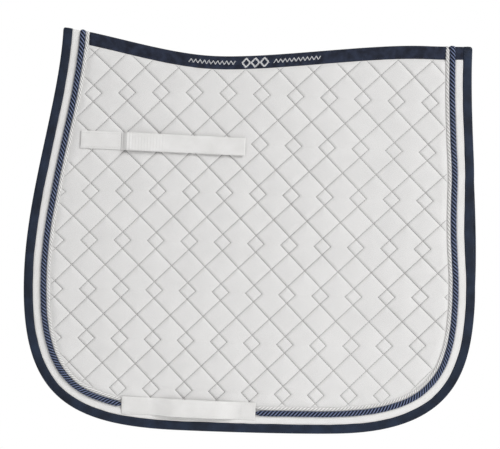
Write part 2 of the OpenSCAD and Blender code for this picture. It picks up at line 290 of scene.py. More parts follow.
class Stock:
    """Points, faces and cloth coordinates of one piece, gathered in millimetres."""

    def __init__(self):
        self.points, self.faces, self.corners, self.count = [], [], [], 0

    def add(self, points, faces, corners):
        self.points.append(points.reshape(-1, 3))
        self.faces.extend((np.asarray(faces) + self.count).tolist())
        self.corners.append(np.asarray(corners, float).reshape(-1, 2))
        self.count += len(points.reshape(-1, 3))

    def cap(self, ring):
        self.faces.append([self.count + k for k in ring])
        self.corners.append(np.zeros((len(ring), 2)))

    def tube(self, rows, along, across):
        """A capped tube. rows is (length, round, 3); along has a number per row, across one more."""
        n, m = rows.shape[:2]
        i, j = np.meshgrid(np.arange(n - 1), np.arange(m), indexing="ij")
        k = (j + 1) % m
        quads = np.stack([i * m + j, i * m + k, (i + 1) * m + k, (i + 1) * m + j], -1).reshape(-1, 4)
        u, v = np.broadcast_to(along, (n,)), np.asarray(across, float)
        spots = [(u[i], v[j]), (u[i], v[j + 1]), (u[i + 1], v[j + 1]), (u[i + 1], v[j])]
        corners = np.stack([np.stack(s, -1) for s in spots], 2)
        self.cap(range(m))
        self.cap([(n - 1) * m + k for k in range(m)][::-1])
        self.add(rows, quads, corners)

    def piece(self, name, material, cut=False, closed=True):
        """The finished object. A cut piece ends at the middle plane, with its open end filled."""
        mesh = bpy.data.meshes.new(name)
        mesh.from_pydata((np.concatenate(self.points) * MM).tolist(), [], self.faces)
        layer = mesh.uv_layers.new(name="cloth")
        layer.data.foreach_set("uv", np.concatenate(self.corners).ravel())
        mesh.update()
        work = bmesh.new()
        work.from_mesh(mesh)
        if cut:
            everything = work.verts[:] + work.edges[:] + work.faces[:]
            bmesh.ops.bisect_plane(work, geom=everything, dist=1e-7, plane_co=(0, 0, 0),
                                   plane_no=(0, 1, 0), clear_outer=True)
            bmesh.ops.holes_fill(work, edges=[e for e in work.edges if e.is_boundary], sides=0)
        if closed:
            bmesh.ops.recalc_face_normals(work, faces=work.faces[:])
        work.to_mesh(mesh)
        work.free()
        mesh.shade_smooth()
        mesh.materials.append(material)
        thing = bpy.data.objects.new(name, mesh)
        bpy.context.scene.collection.objects.link(thing)
        return thing


def tube_piece(name, material, rows, along, across, cut=False):
    """A piece made of one tube."""
    stock = Stock()
    stock.tube(rows, along, across)
    return stock.piece(name, material, cut=cut)


def mirror_piece(thing, name):
    """The same piece on the other half of the pad."""
    mesh = thing.data.copy()
    mesh.name = name
    where = np.empty(len(mesh.vertices) * 3, np.float32)
    mesh.vertices.foreach_get("co", where)
    where[1::3] *= -1
    where[0::3] += hangs_back(where[0::3] / MM, where[2::3] / MM) * MM
    mesh.vertices.foreach_set("co", where)
    mesh.flip_normals()
    twin = bpy.data.objects.new(name, mesh)
    bpy.context.scene.collection.objects.link(twin)
    return twin


def both_sides(thing, part):
    """The left piece and its mirrored twin, by side, named for that part of the pad."""
    thing.name = thing.data.name = "left_" + part
    return {"left": thing, "right": mirror_piece(thing, "right_" + part)}


def fit_to_panel(pair, slot, *parts):
    """Pieces sewn to the panel: each half's stands for its parts."""
    for side, thing in pair.items():
        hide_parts(*[f"{side}_{p}" for p in parts])
        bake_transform(thing)


def sew_to_panel(pair):
    """Threads on the panel: they stand for no part of their own."""
    for side, thing in pair.items():
        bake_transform(thing)


def fit_to_flap(pair, slot, *parts):
    """Pieces low on the flap, which move with it as a whole."""
    for side, thing in pair.items():
        if parts:
            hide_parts(*[f"{side}_{p}" for p in parts])
        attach(thing, f"{side}_flap")


# ---------------------------------------------------------------- node groups and materials

def new_group(name, inputs, outputs):
    group = bpy.data.node_groups.new(name, "ShaderNodeTree")
    for label, kind, value in inputs:
        socket = group.interface.new_socket(label, in_out="INPUT", socket_type=kind)
        if value is not None:
            socket.default_value = value
    for label in outputs:
        group.interface.new_socket(label, in_out="OUTPUT", socket_type="NodeSocketFloat")
    return group, group.nodes.new("NodeGroupInput"), group.nodes.new("NodeGroupOutput")


def math_node(tree, operation, a, b=None, c=None):
    """A Math node fed by sockets or numbers; gives its output."""
    node = tree.nodes.new("ShaderNodeMath")
    node.operation = operation
    for socket, value in zip(node.inputs, (a, b, c)):
        if isinstance(value, (int, float)):
            socket.default_value = value
        elif value is not None:
            tree.links.new(value, socket)
    return node.outputs[0]


def weave_group():
    """Threads crossing over and under: Height is the cloth's relief, Gaps the spots between threads, where
    painted shade goes.
    """
    group, given, out = new_group("weave", [
        ("Cloth", "NodeSocketVector", None), ("Warp pitch", "NodeSocketFloat", 0.6),
        ("Weft pitch", "NodeSocketFloat", 0.6), ("Slant", "NodeSocketFloat", 0.0),
        ("Uneven", "NodeSocketFloat", 0.15)], ["Height", "Gaps"])
    wander = group.nodes.new("ShaderNodeTexNoise")
    wander.inputs["Scale"].default_value = 0.35
    wander.inputs["Detail"].default_value = 2
    group.links.new(given.outputs["Cloth"], wander.inputs["Vector"])
    split = group.nodes.new("ShaderNodeSeparateXYZ")
    group.links.new(given.outputs["Cloth"], split.inputs[0])
    shift = math_node(group, "MULTIPLY", wander.outputs[0], given.outputs["Uneven"])
    warp = math_node(group, "DIVIDE", split.outputs[0], given.outputs["Warp pitch"])
    weft = math_node(group, "DIVIDE", split.outputs[1], given.outputs["Weft pitch"])
    leaned = math_node(group, "MULTIPLY_ADD", weft, given.outputs["Slant"], warp)
    warp_turn = math_node(group, "MULTIPLY", math_node(group, "ADD", leaned, shift), math.tau)
    weft_turn = math_node(group, "MULTIPLY", math_node(group, "ADD", weft, shift), math.tau)
    over = math_node(group, "COSINE", warp_turn)
    under = math_node(group, "COSINE", weft_turn)
    crossing = math_node(group, "MULTIPLY", over, under)
    height = math_node(group, "MULTIPLY_ADD", crossing, 0.5, 0.5)
    gaps = math_node(group, "MAXIMUM", over, under)
    group.links.new(height, out.inputs["Height"])
    group.links.new(math_node(group, "SUBTRACT", 1.0, gaps), out.inputs["Gaps"])
    return group


def rib_group():
    """Ribs across or along a tape: Height is their rounded relief, Grooves the lines between them, where
    painted shade goes.
    """
    group, given, out = new_group("ribs", [
        ("Cloth", "NodeSocketVector", None), ("Pitch", "NodeSocketFloat", 1.0),
        ("Lean", "NodeSocketFloat", 0.0)], ["Height", "Grooves"])
    split = group.nodes.new("ShaderNodeSeparateXYZ")
    group.links.new(given.outputs["Cloth"], split.inputs[0])
    leaned = math_node(group, "MULTIPLY_ADD", split.outputs[1], given.outputs["Lean"], split.outputs[0])
    share = math_node(group, "FRACT", math_node(group, "DIVIDE", leaned, given.outputs["Pitch"]))
    away = math_node(group, "ABSOLUTE", math_node(group, "MULTIPLY_ADD", share, 2.0, -1.0))
    bulge = math_node(group, "MULTIPLY", away, math_node(group, "MULTIPLY", away, 0.98))
    height = math_node(group, "SQRT", math_node(group, "SUBTRACT", 1.0, bulge))
    group.links.new(height, out.inputs["Height"])
    group.links.new(math_node(group, "POWER", away, 6.0), out.inputs["Grooves"])
    return group


def mottle_group():
    """Uneven dye, handling and dust: Soft changes over centimetres, Fine over single threads."""
    group, given, out = new_group("mottle", [
        ("Cloth", "NodeSocketVector", None), ("Patch size", "NodeSocketFloat", 40.0),
        ("Fibre size", "NodeSocketFloat", 0.5)], ["Soft", "Fine"])
    for label, size, detail in (("Soft", "Patch size", 4), ("Fine", "Fibre size", 2)):
        texture = group.nodes.new("ShaderNodeTexNoise")
        texture.inputs["Detail"].default_value = detail
        group.links.new(given.outputs["Cloth"], texture.inputs["Vector"])
        group.links.new(math_node(group, "DIVIDE", 1.0, given.outputs[size]), texture.inputs["Scale"])
        group.links.new(texture.outputs[0], out.inputs[label])
    return group


def ridge_group():
    """How near a strand's surface lies to the cord's outside: 1 on its ridge, 0 deep down between strands.
    yarn() uses it for a painted highlight on the ridge and painted shade between strands.
    """
    group, given, out = new_group("ridge", [
        ("Cloth", "NodeSocketVector", None), ("Girth", "NodeSocketFloat", 10.0),
        ("Narrow", "NodeSocketFloat", 2.0)], ["Ridge"])
    split = group.nodes.new("ShaderNodeSeparateXYZ")
    group.links.new(given.outputs["Cloth"], split.inputs[0])
    turn = math_node(group, "MULTIPLY", math_node(group, "DIVIDE", split.outputs[1], given.outputs["Girth"]),
                     math.tau)
    share = math_node(group, "MULTIPLY_ADD", math_node(group, "COSINE", turn), 0.5, 0.5)
    group.links.new(math_node(group, "POWER", share, given.outputs["Narrow"]), out.inputs["Ridge"])
    return group


WEAVE, RIBS, MOTTLE, RIDGE = weave_group(), rib_group(), mottle_group(), ridge_group()


def srgb(red, green, blue):
    """A colour given from 0 to 255, as the shader's linear numbers."""
    share = np.array([red, green, blue]) / 255
    linear = np.where(share <= 0.04045, share / 12.92, ((share + 0.055) / 1.055) ** 2.4)
    return (*linear.tolist(), 1.0)


class Finish:
    """A material under way: its cloth coordinates, its shader and small helpers to join nodes."""

    def __init__(self, name, sheen=0.3, specular=0.3):
        self.material = bpy.data.materials.new(name)
        self.material.use_nodes = True
        self.tree = self.material.node_tree
        self.shader = self.tree.nodes["Principled BSDF"]
        self.shader.inputs["Sheen Weight"].default_value = sheen
        self.shader.inputs["Sheen Roughness"].default_value = 0.5
        self.shader.inputs["Specular IOR Level"].default_value = specular
        self.cloth = self.tree.nodes.new("ShaderNodeUVMap")
        self.cloth.uv_map = "cloth"

    def group(self, group, **values):
        node = self.tree.nodes.new("ShaderNodeGroup")
        node.node_tree = group
        self.tree.links.new(self.cloth.outputs[0], node.inputs["Cloth"])
        for label, value in values.items():
            node.inputs[label.replace("_", " ").capitalize()].default_value = value
        return node

    def math(self, operation, a, b=None, c=None):
        return math_node(self.tree, operation, a, b, c)

    def blend(self, share, dark, light, low=0.0, high=1.0):
        """Colour from dark to light as share goes from low to high."""
        ramp = self.tree.nodes.new("ShaderNodeValToRGB")
        ramp.color_ramp.elements[0].position = low
        ramp.color_ramp.elements[1].position = high
        ramp.color_ramp.elements[0].color = dark
        ramp.color_ramp.elements[1].color = light
        self.tree.links.new(share, ramp.inputs[0])
        return ramp.outputs[0]

    def mix(self, share, first, second):
        """A fixed colour that turns into the second, joined one as share goes from 0 to 1."""
        node = self.tree.nodes.new("ShaderNodeMix")
        node.data_type = "RGBA"
        colours = [socket for socket in node.inputs if socket.type == "RGBA"]
        colours[0].default_value = first
        self.tree.links.new(share, node.inputs["Factor"])
        self.tree.links.new(second, colours[1])
        return next(socket for socket in node.outputs if socket.type == "RGBA")

    def dye(self, patch):
        """Uneven dye with patches of that size: the fine part by itself, and both parts together."""
        patches = self.group(MOTTLE, patch_size=patch)
        fine = patches.outputs["Fine"]
        soft = self.math("MULTIPLY", patches.outputs["Soft"], 0.5)
        return fine, self.math("MULTIPLY_ADD", fine, 0.5, soft)

    def shade(self, colour, amount, share):
        """The colour, darkened by that share where amount is 1."""
        kept = self.math("SUBTRACT", 1.0, self.math("MULTIPLY", amount, share))
        mix = self.tree.nodes.new("ShaderNodeVectorMath")
        mix.operation = "SCALE"
        self.tree.links.new(colour, mix.inputs[0])
        self.tree.links.new(kept, mix.inputs["Scale"])
        return mix.outputs[0]

    def done(self, colour, rough, height, depth):
        """Joins colour, roughness and relief to the shader. depth is the relief's height in millimetres."""
        links = self.tree.links
        links.new(colour, self.shader.inputs["Base Color"])
        links.new(rough, self.shader.inputs["Roughness"])
        bump = self.tree.nodes.new("ShaderNodeBump")
        bump.inputs["Strength"].default_value = 1.0
        bump.inputs["Distance"].default_value = depth * MM
        links.new(height, bump.inputs["Height"])
        links.new(bump.outputs[0], self.shader.inputs["Normal"])
        return self.material


def woven(name, light, dark, warp, weft, depth, slant=0.0, gaps=0.15, rough=0.86, sheen=0.3, specular=0.3,
          crease=0.0, patch=40.0, spread=0.15):
    """Woven cloth: threads with painted shade between them, a soft uneven dye and fine fibres, and painted
    shade in its creases by that share.
    """
    cloth = Finish(name, sheen, specular)
    threads = cloth.group(WEAVE, warp_pitch=warp, weft_pitch=weft, slant=slant)
    fine, tone = cloth.dye(patch)
    # Painted shade in the gaps between threads, by the share given as gaps.
    colour = cloth.shade(
        cloth.blend(tone, dark, light, 0.5 - spread, 0.5 + spread), threads.outputs["Gaps"], gaps)
    # Painted shade along the quilting's stitch creases, by the mesh's crease mask and the share given as
    # crease.
    if crease:
        mask = cloth.tree.nodes.new("ShaderNodeAttribute")
        mask.attribute_name = "crease"
        colour = cloth.shade(colour, mask.outputs["Fac"], crease)
    roughness = cloth.math("MULTIPLY_ADD", fine, 0.12, rough - 0.06)
    relief = cloth.math("MULTIPLY_ADD", fine, 0.5, threads.outputs["Height"])
    return cloth.done(colour, roughness, relief, depth)


def ribbed(name, light, dark, pitch, depth, lean=0.0, fibre=0.4, grooves=0.35, rough=0.8, sheen=0.3,
           patch=25.0, spread=0.15):
    """Tape or webbing with ribs across it, each rib showing its own fibres."""
    cloth = Finish(name, sheen)
    ribs = cloth.group(RIBS, pitch=pitch, lean=lean)
    threads = cloth.group(WEAVE, warp_pitch=fibre, weft_pitch=fibre * 1.7, slant=0.5)
    fine, tone = cloth.dye(patch)
    # Painted shade in the grooves between the ribs, by the share given as grooves.
    colour = cloth.shade(
        cloth.blend(tone, dark, light, 0.5 - spread, 0.5 + spread), ribs.outputs["Grooves"], grooves)
    roughness = cloth.math("MULTIPLY_ADD", fine, 0.12, rough - 0.06)
    relief = cloth.math("MULTIPLY_ADD", threads.outputs["Height"], 0.25, ribs.outputs["Height"])
    return cloth.done(colour, roughness, relief, depth)


def yarn(name, light, dark, pitch, depth, rough=0.7, sheen=0.4, girth=0.0, groove_shade=None, narrow=1.5,
         specular=0.4):
    """Thread of many fine yarns on a slant, with a painted highlight on the crests of its twist and painted
    shade between them. A cord's strand has a girth, and painted shade in its own given colour between
    strands.
    """
    cloth = Finish(name, sheen, specular)
    ribs = cloth.group(RIBS, pitch=pitch, lean=1.0)
    patches = cloth.group(MOTTLE, patch_size=8.0, fibre_size=0.7)
    # The tone rises with the ribs' height: a painted highlight on the crests of the twist.
    tone = cloth.math("MULTIPLY_ADD", patches.outputs["Fine"], 0.6, cloth.math(
        "MULTIPLY", ribs.outputs["Height"], 0.4))
    # Painted shade in the grooves of the twist.
    colour = cloth.shade(cloth.blend(tone, dark, light, 0.3, 0.85), ribs.outputs["Grooves"], 0.4)
    # On a cord the yarn colour is kept only along each strand's ridge as a painted highlight; between
    # strands it turns to painted shade in the given colour.
    if girth:
        ridge = cloth.group(RIDGE, girth=girth, narrow=narrow)
        colour = cloth.mix(ridge.outputs["Ridge"], groove_shade, colour)
    roughness = cloth.math("MULTIPLY_ADD", patches.outputs["Fine"], 0.2, rough - 0.1)
    return cloth.done(colour, roughness, ribs.outputs["Height"], depth)


def pile(name, light, dark, size, depth, rough=0.9, sheen=0.6):
    """Brushed loops or moulded hooks: a dense field of small dots."""
    cloth = Finish(name, sheen)
    dots = cloth.tree.nodes.new("ShaderNodeTexVoronoi")
    dots.inputs["Scale"].default_value = 1 / size
    cloth.tree.links.new(cloth.cloth.outputs[0], dots.inputs["Vector"])
    patches = cloth.group(MOTTLE, patch_size=12.0)
    # Painted shade between the dots.
    colour = cloth.shade(cloth.blend(patches.outputs["Fine"], dark, light, 0.3, 0.7),
                         dots.outputs["Distance"], 0.35)
    roughness = cloth.math("MULTIPLY_ADD", patches.outputs["Fine"], 0.1, rough - 0.05)
    height = cloth.math("SUBTRACT", 1.0, dots.outputs["Distance"])
    return cloth.done(colour, roughness, height, depth)


# The crease shares of the cotton and the lining are painted shade along the quilting's stitch lines.
COTTON = woven("quilted_cotton", srgb(240, 239, 238), srgb(232, 231, 230), 0.55, 0.5, 0.05,
               slant=0.5, crease=0.8)
LINING = woven("lining_cotton", srgb(236, 235, 233), srgb(224, 223, 220), 0.7, 0.7, 0.07,
               crease=0.35)
BINDING = woven("binding_cotton", srgb(42, 56, 80), srgb(14, 20, 33), 0.8, 0.6, 0.09, slant=1.0,
                gaps=0.3, rough=0.6, sheen=0.02, specular=0.25, patch=26.0, spread=0.14)
BORDER_TAPE = ribbed("border_tape", srgb(243, 242, 241), srgb(236, 235, 233), 0.9, 0.08, lean=0.6)
SPINE_TAPE = ribbed("spine_tape", srgb(44, 52, 72), srgb(16, 20, 34), 0.8, 0.08, lean=0.5, sheen=0.02,
                    patch=10.0, spread=0.09)
SEAM_TAPE = ribbed("seam_tape", srgb(240, 239, 237), srgb(230, 229, 226), 1.1, 0.08)
# Navy cord: its light and dark yarn colours are painted highlights, much lighter than the navy dye and seen
# only on the strands' ridges; its near-black colour between strands is painted shade.
NAVY_YARN = yarn("navy_cord_yarn", srgb(156, 170, 208), srgb(66, 78, 114), 0.62, 0.12, sheen=0.0, rough=0.6,
                 girth=math.pi * strand_share(NAVY_STRANDS) * NAVY_W, groove_shade=srgb(2, 4, 14), narrow=15.0,
                 specular=0.12)
# White cord: its grey colour between strands is painted shade.
WHITE_YARN = yarn("white_cord_yarn", srgb(252, 251, 250), srgb(240, 239, 237), 0.55, 0.1,
                  girth=math.pi * strand_share(WHITE_STRANDS) * WHITE_W, groove_shade=srgb(136, 137, 133),
                  narrow=1.1)
WEBBING = ribbed("strap_webbing", srgb(242, 241, 240), srgb(230, 229, 227), 1.3, 0.12, fibre=0.5)
LOOP_PILE = pile("loop_pile", srgb(238, 237, 235), srgb(222, 221, 218), 0.55, 0.25)
HOOK_PILE = pile("hook_pile", srgb(236, 236, 235), srgb(214, 213, 211), 0.9, 0.35, rough=0.5, sheen=0.1)
THREAD = yarn("sewing_thread", srgb(240, 239, 238), srgb(206, 205, 203), 0.3, 0.05, rough=0.55)
NAVY_THREAD = yarn("navy_thread", srgb(74, 82, 104), srgb(40, 46, 62), 0.3, 0.05, rough=0.5, sheen=0.05)
SILVER_THREAD = yarn("motif_thread", srgb(252, 252, 252), srgb(228, 229, 232), 0.35, 0.06, rough=0.5)


# ---------------------------------------------------------------- quilting

def lattice_to_pad(across, down):
    """A place in the quilting's even lattice, as X and depth on the pad, where its rows sag a little."""
    row = down / ROW
    x = FIRST_COLUMN_X + 0.55 * row + across * (COLUMN_STRETCH - ROW_TAPER * row)
    droop = (7.3 - 1.2 * row) * (np.minimum(x, 0) / 240) ** 2
    lift = np.clip(2 + 2 * row, 0, 9) * (np.maximum(x, 0) / 231) ** 2
    return x, FIRST_ROW_DEPTH + down * ROW_STRETCH + droop - lift


def stitch_distance(across, down):
    """Distance from a place in the lattice to the nearest line of quilting stitches."""
    nearest = np.full(across.shape, 1e9)
    band = np.floor(down / ROW)
    for neighbour in (-1, 0, 1):
        row = band + neighbour
        for hand in (1, -1):
            lean = hand * across
            start = lean - (down - ROW * row)
            line = COLUMN * np.round((start + CELL) / COLUMN) - CELL
            foot = np.clip(down + (start - line) / 2, ROW * row, ROW * (row + 1))
            gap = np.hypot(lean - (line + foot - ROW * row), down - foot)
            nearest = np.minimum(nearest, gap)
    return nearest


def sewn_down(x, z):
    """From 0 to 1: how firmly a strap's sewn end or the loop tape presses the panel there."""
    press = np.zeros(np.shape(x))
    spans = [
        (SEWN_LOW, SEWN_HIGH, SEWN_LOW[0], SEWN_HIGH[0]),
        (LOOP_LOW, LOOP_HIGH, LOOP_LOW[0], LOOP_HIGH[0]),
        (GIRTH_LOW, GIRTH_HIGH, GIRTH_LOW[0], GIRTH_LOW[0] + GIRTH_FRONT_SEWN),
        (GIRTH_LOW, GIRTH_HIGH, GIRTH_HIGH[0] - GIRTH_REAR_SEWN, GIRTH_HIGH[0]),
    ]
    for low, high, left, right in spans:
        clear = np.maximum.reduce([left - x, x - right, low[2] - z, z - high[2]])
        press = np.maximum(press, 1 - ease((clear + 1) / 6))
    return press


def puff_profile(gap):
    """Rise of the filling from a stitch line, from 0 at the stitches to 1 on the crest."""
    return 1 - (1 - np.clip(gap / PUFF_REACH, 0, 1)) ** 2.3


def creased(rise, gap):
    """The rise with a narrow, steep crease along the stitches."""
    return CREASE_SHARE * np.clip(gap / CREASE_REACH, 0, 1) + (1 - CREASE_SHARE) * rise


def field_gap(x, z, inset):
    """Distance into the quilted field from the border's and the spine tape's stitches."""
    return np.minimum(inset - FIELD_IN, spine_height(x) - z - FIELD_BELOW)


def face_level(x, z, inset, gap, puff=None):
    """Level of the face fabric: pressed at the border, pulled in at the stitches and full between them."""
    into = field_gap(x, z, inset)
    rise = creased(puff_profile(gap) if puff is None else puff, gap) * ease((into + 1.5) / 9)
    pressed_by_tape = ease((spine_height(x) - z - FIELD_BELOW) / 5)
    pressed_by_cord = ease((inset - FIELD_IN + 3.5) / 5)
    floor = BORDER_Y + (STITCH_LEVEL - BORDER_Y) * pressed_by_tape * pressed_by_cord
    rear_wave = 0.35 * np.sin(x / 31 + 0.6 * np.sin(z / 70)) * ease((x + 40) / 160)
    wave = rear_wave + 0.2 * np.sin(z / 47 + x / 90)
    level = floor + (CREST_LEVEL - STITCH_LEVEL + wave) * rise + 0.35 * wave * ease(into / 20)
    return level - np.maximum(level - FIELD_Y + 0.12, 0) * sewn_down(x, z)


def lining_level(x, z, inset, gap):
    """Level of the lining's inner side, which puffs a little towards the middle plane."""
    into = field_gap(x, z, inset)
    rise = creased(puff_profile(gap), gap) * ease((into + 1.5) / 9)
    return LINING_Y + 0.55 * ease(into / 5) * (1 - rise) - 0.35 * rise


def quilt_grid(steps):
    """A net of diagonals on the stitch lines; steps are the shares of a cell where lines lie."""
    reach = 64
    ticks = (np.arange(-reach, reach)[:, None] + np.array(steps)).ravel() * CELL
    down_right, up_right = np.meshgrid(ticks, ticks, indexing="ij")
    return (down_right + up_right) / 2, (up_right - down_right) / 2


def net_corners(values):
    """Each mesh of the net as the values at its four corners, in order round it."""
    return np.stack([values[:-1, :-1], values[1:, :-1], values[1:, 1:], values[:-1, 1:]], -1)


def simulated_puffs():
    """The filling's rise from a cloth simulation: the sheet is held at its stitches and blown out."""
    across, down = quilt_grid((0, 0.5))
    x, depth = lattice_to_pad(across, down)
    z = -depth
    inside = (np.abs(x) < NET_REACH) & (z < spine_height(x) - SPINE_TAPE_W + 4) & (z > BOTTOM_Z)
    inset = np.full(x.shape, -1.0)
    inset[inside] = inset_of(x[inside], z[inside])
    inside = inset > FIELD_IN - 8
    number = np.full(x.shape, -1)
    number[inside] = np.arange(inside.sum())
    quads = net_corners(number).reshape(-1, 4)
    quads = quads[(quads >= 0).all(1)]
    points = np.stack([x[inside], np.zeros(inside.sum()), z[inside]], 1)
    mesh = bpy.data.meshes.new("puff_sheet")
    mesh.from_pydata((points * MM).tolist(), [], quads.tolist())
    sheet = bpy.data.objects.new("puff_sheet", mesh)
    bpy.context.scene.collection.objects.link(sheet)
    gap = stitch_distance(across, down)[inside]
    below_fold = spine_height(points[:, 0]) - points[:, 2]
    held = (gap < 0.5) | (inset[inside] < FIELD_IN) | (below_fold < SPINE_TAPE_W + 1)
    pins = sheet.vertex_groups.new(name="stitches")
    pins.add(np.flatnonzero(held).tolist(), 1.0, "REPLACE")
    cloth = sheet.modifiers.new("Cloth", "CLOTH")
    settings = cloth.settings
    settings.vertex_group_mass = "stitches"
    settings.quality = 6
    settings.mass = 0.2
    settings.tension_stiffness = settings.compression_stiffness = 10
    settings.bending_stiffness = 8
    settings.shrink_min = -0.006
    settings.use_pressure = True
    settings.uniform_pressure_force = 30
    settings.effector_weights.gravity = 0
    cloth.point_cache.frame_end = PUFF_FRAMES
    scene = bpy.context.scene
    for moment in range(1, PUFF_FRAMES + 1):
        scene.frame_set(moment)
    solved = sheet.evaluated_get(bpy.context.evaluated_depsgraph_get()).to_mesh()
    blown = np.empty(len(solved.vertices) * 3, np.float32)
    solved.vertices.foreach_get("co", blown)
    rise = np.abs(blown[1::3]) / MM
    scene.frame_set(1)
    bpy.data.objects.remove(sheet)
    crest = np.percentile(rise[~held], 90)
    puffs = np.full(x.shape, np.nan)
    puffs[inside] = np.clip(rise / crest, 0, 1.15)
    return puffs


def finer_puffs(puffs, steps):
    """The simulated rise at a finer net's lines, from the four coarse points round each."""
    coarse = puffs.shape[0]
    ticks = ((np.arange(coarse // 2)[:, None] + np.array(steps)) * 2).ravel()
    low = np.minimum(ticks.astype(int), coarse - 2)
    share = ticks - low
    rows = puffs[low] * (1 - share)[:, None] + puffs[low + 1] * share[:, None]
    return rows[:, low] * (1 - share) + rows[:, low + 1] * share


def quilted_piece(name, material, steps, level_of, back, puffs=None):
    """A quilted layer: its relief on one side, a flat back at another level, a rim in the binding."""
    across, down = quilt_grid(steps)
    x, depth = lattice_to_pad(across, down)
    z = -depth
    near = (np.abs(x) < NET_REACH) & (z < spine_height(x) + 8) & (z > BOTTOM_Z)
    inset = np.full(x.shape, -1.0)
    inset[near] = inset_of(x[near], z[near])
    inside = inset > 3.2
    gap = stitch_distance(across, down)
    if puffs is not None:
        rise = finer_puffs(puffs, steps)
        rise = np.where(np.isnan(rise), puff_profile(gap), rise)
        level = level_of(x, z, inset, gap, rise)
    else:
        level = level_of(x, z, inset, gap)
    number = np.full(x.shape, -1)
    quads = net_corners(inside).all(-1)
    used = np.zeros(x.shape, bool)
    for shift_a in (0, 1):
        for shift_b in (0, 1):
            used[shift_a:shift_a + quads.shape[0], shift_b:shift_b + quads.shape[1]] |= quads
    number[used] = np.arange(used.sum())
    faces = net_corners(number)[quads]
    flat = np.stack([x[used], z[used]], 1)
    stock = Stock()
    stock.add(over_fold(flat[:, 0], flat[:, 1], level[used]), faces, flat[faces])
    thing = stock.piece(name, material, cut=False, closed=False)
    # Mask for painted shade along the stitch creases: 1 on the stitch line, 0 beyond the crease.
    crease = np.clip(1 - gap / CREASE_REACH, 0, 1) * ease(field_gap(x, z, inset) / 2)
    mask = thing.data.attributes.new("crease", "FLOAT", "POINT")
    mask.data.foreach_set("value", crease[used].astype(np.float32))
    close_back(thing, back)
    return thing


def close_back(thing, back):
    """Cuts a relief at the middle plane, then closes it with a flat back at that level."""
    work = bmesh.new()
    work.from_mesh(thing.data)
    everything = work.verts[:] + work.edges[:] + work.faces[:]
    bmesh.ops.bisect_plane(work, geom=everything, dist=1e-7, plane_co=(0, 0, 0), plane_no=(0, 1, 0),
                           clear_outer=True)
    rim = [e for e in work.edges if e.is_boundary]
    grown = bmesh.ops.extrude_edge_only(work, edges=rim)["geom"]
    for v in (g for g in grown if isinstance(g, bmesh.types.BMVert)):
        fold = (spine_height(v.co.x / MM) - BORDER_Y) * MM
        v.co.y = -back * MM
        v.co.z = min(v.co.z, fold)
    edges = [g for g in grown if isinstance(g, bmesh.types.BMEdge)]
    bmesh.ops.triangle_fill(work, edges=edges, use_beauty=False, use_dissolve=False)
    bmesh.ops.recalc_face_normals(work, faces=work.faces[:])
    work.to_mesh(thing.data)
    work.free()
    thing.data.shade_smooth()


def quilting_lines():
    """Each straight run of quilting stitches, as its two ends in the lattice."""
    for row in range(-4, 6):
        for column in range(-10, 11):
            for hand in (1, -1):
                yield (COLUMN * column - hand * CELL, ROW * row), (
                    COLUMN * column + hand * (ROW - CELL), ROW * (row + 1))


def stitch_row(starts, ends, levels, radius, sink=0.5):
    """Short rounded stitches between flat points, as tube rows: (stitches, rings, sides, 3)."""
    shares = np.array([0.0, 0.5, 1.0])
    widths = np.array([0.45, 1.0, 0.45]) * radius
    turns = np.linspace(0, 2 * np.pi, 4, endpoint=False) + np.pi / 4
    way = ends - starts
    side = np.stack([-way[:, 1], way[:, 0]], 1) / np.hypot(*way.T)[:, None]
    centre = starts[:, None] + way[:, None] * shares[None, :, None]
    spread = widths[None, :, None] * np.cos(turns)
    lift = widths[None, :, None] * np.sin(turns) - sink * radius * np.abs(shares * 2 - 1)[None, :, None]
    flat = centre[:, :, None, :] + side[:, None, None, :] * spread[..., None]
    level = levels[:, None, None] + lift
    return over_fold(flat[..., 0], flat[..., 1], level)


def add_stitches(stock, starts, ends, levels, radius):
    for one in stitch_row(starts, ends, levels, radius):
        stock.tube(one, np.arange(3) * 1.2, np.arange(5) * 0.3)


def thread_piece(name, material, starts, ends, levels, radius):
    """A piece made of stitches only."""
    stock = Stock()
    add_stitches(stock, starts, ends, levels, radius)
    return stock.piece(name, material)


def quilting_thread():
    """Thread lying in the quilting's grooves."""
    pitch, share, radius = 3.6, 0.78, 0.26
    starts, ends = [], []
    for first, last in quilting_lines():
        first, last = np.array(first, float), np.array(last, float)
        count = int(np.hypot(*(last - first)) / pitch)
        for k in range(count):
            starts.append(first + (last - first) * (k + 0.5 - share / 2) / count)
            ends.append(first + (last - first) * (k + 0.5 + share / 2) / count)
    places = []
    for spots in (np.array(starts), np.array(ends)):
        x, depth = lattice_to_pad(spots[:, 0], spots[:, 1])
        places.append(np.stack([x, -depth], 1))
    middle = (places[0] + places[1]) / 2
    inset = inset_of(middle[:, 0], middle[:, 1])
    x, z = middle.T
    kept = (field_gap(x, z, inset) > 1.5) & (sewn_down(x, z) < 0.5) & (z > BOTTOM_Z)
    level = face_level(x, z, inset, np.zeros(len(x)))
    return thread_piece("quilting_thread", THREAD, places[0][kept], places[1][kept],
                        level[kept] + 0.1, radius)


# ---------------------------------------------------------------- border

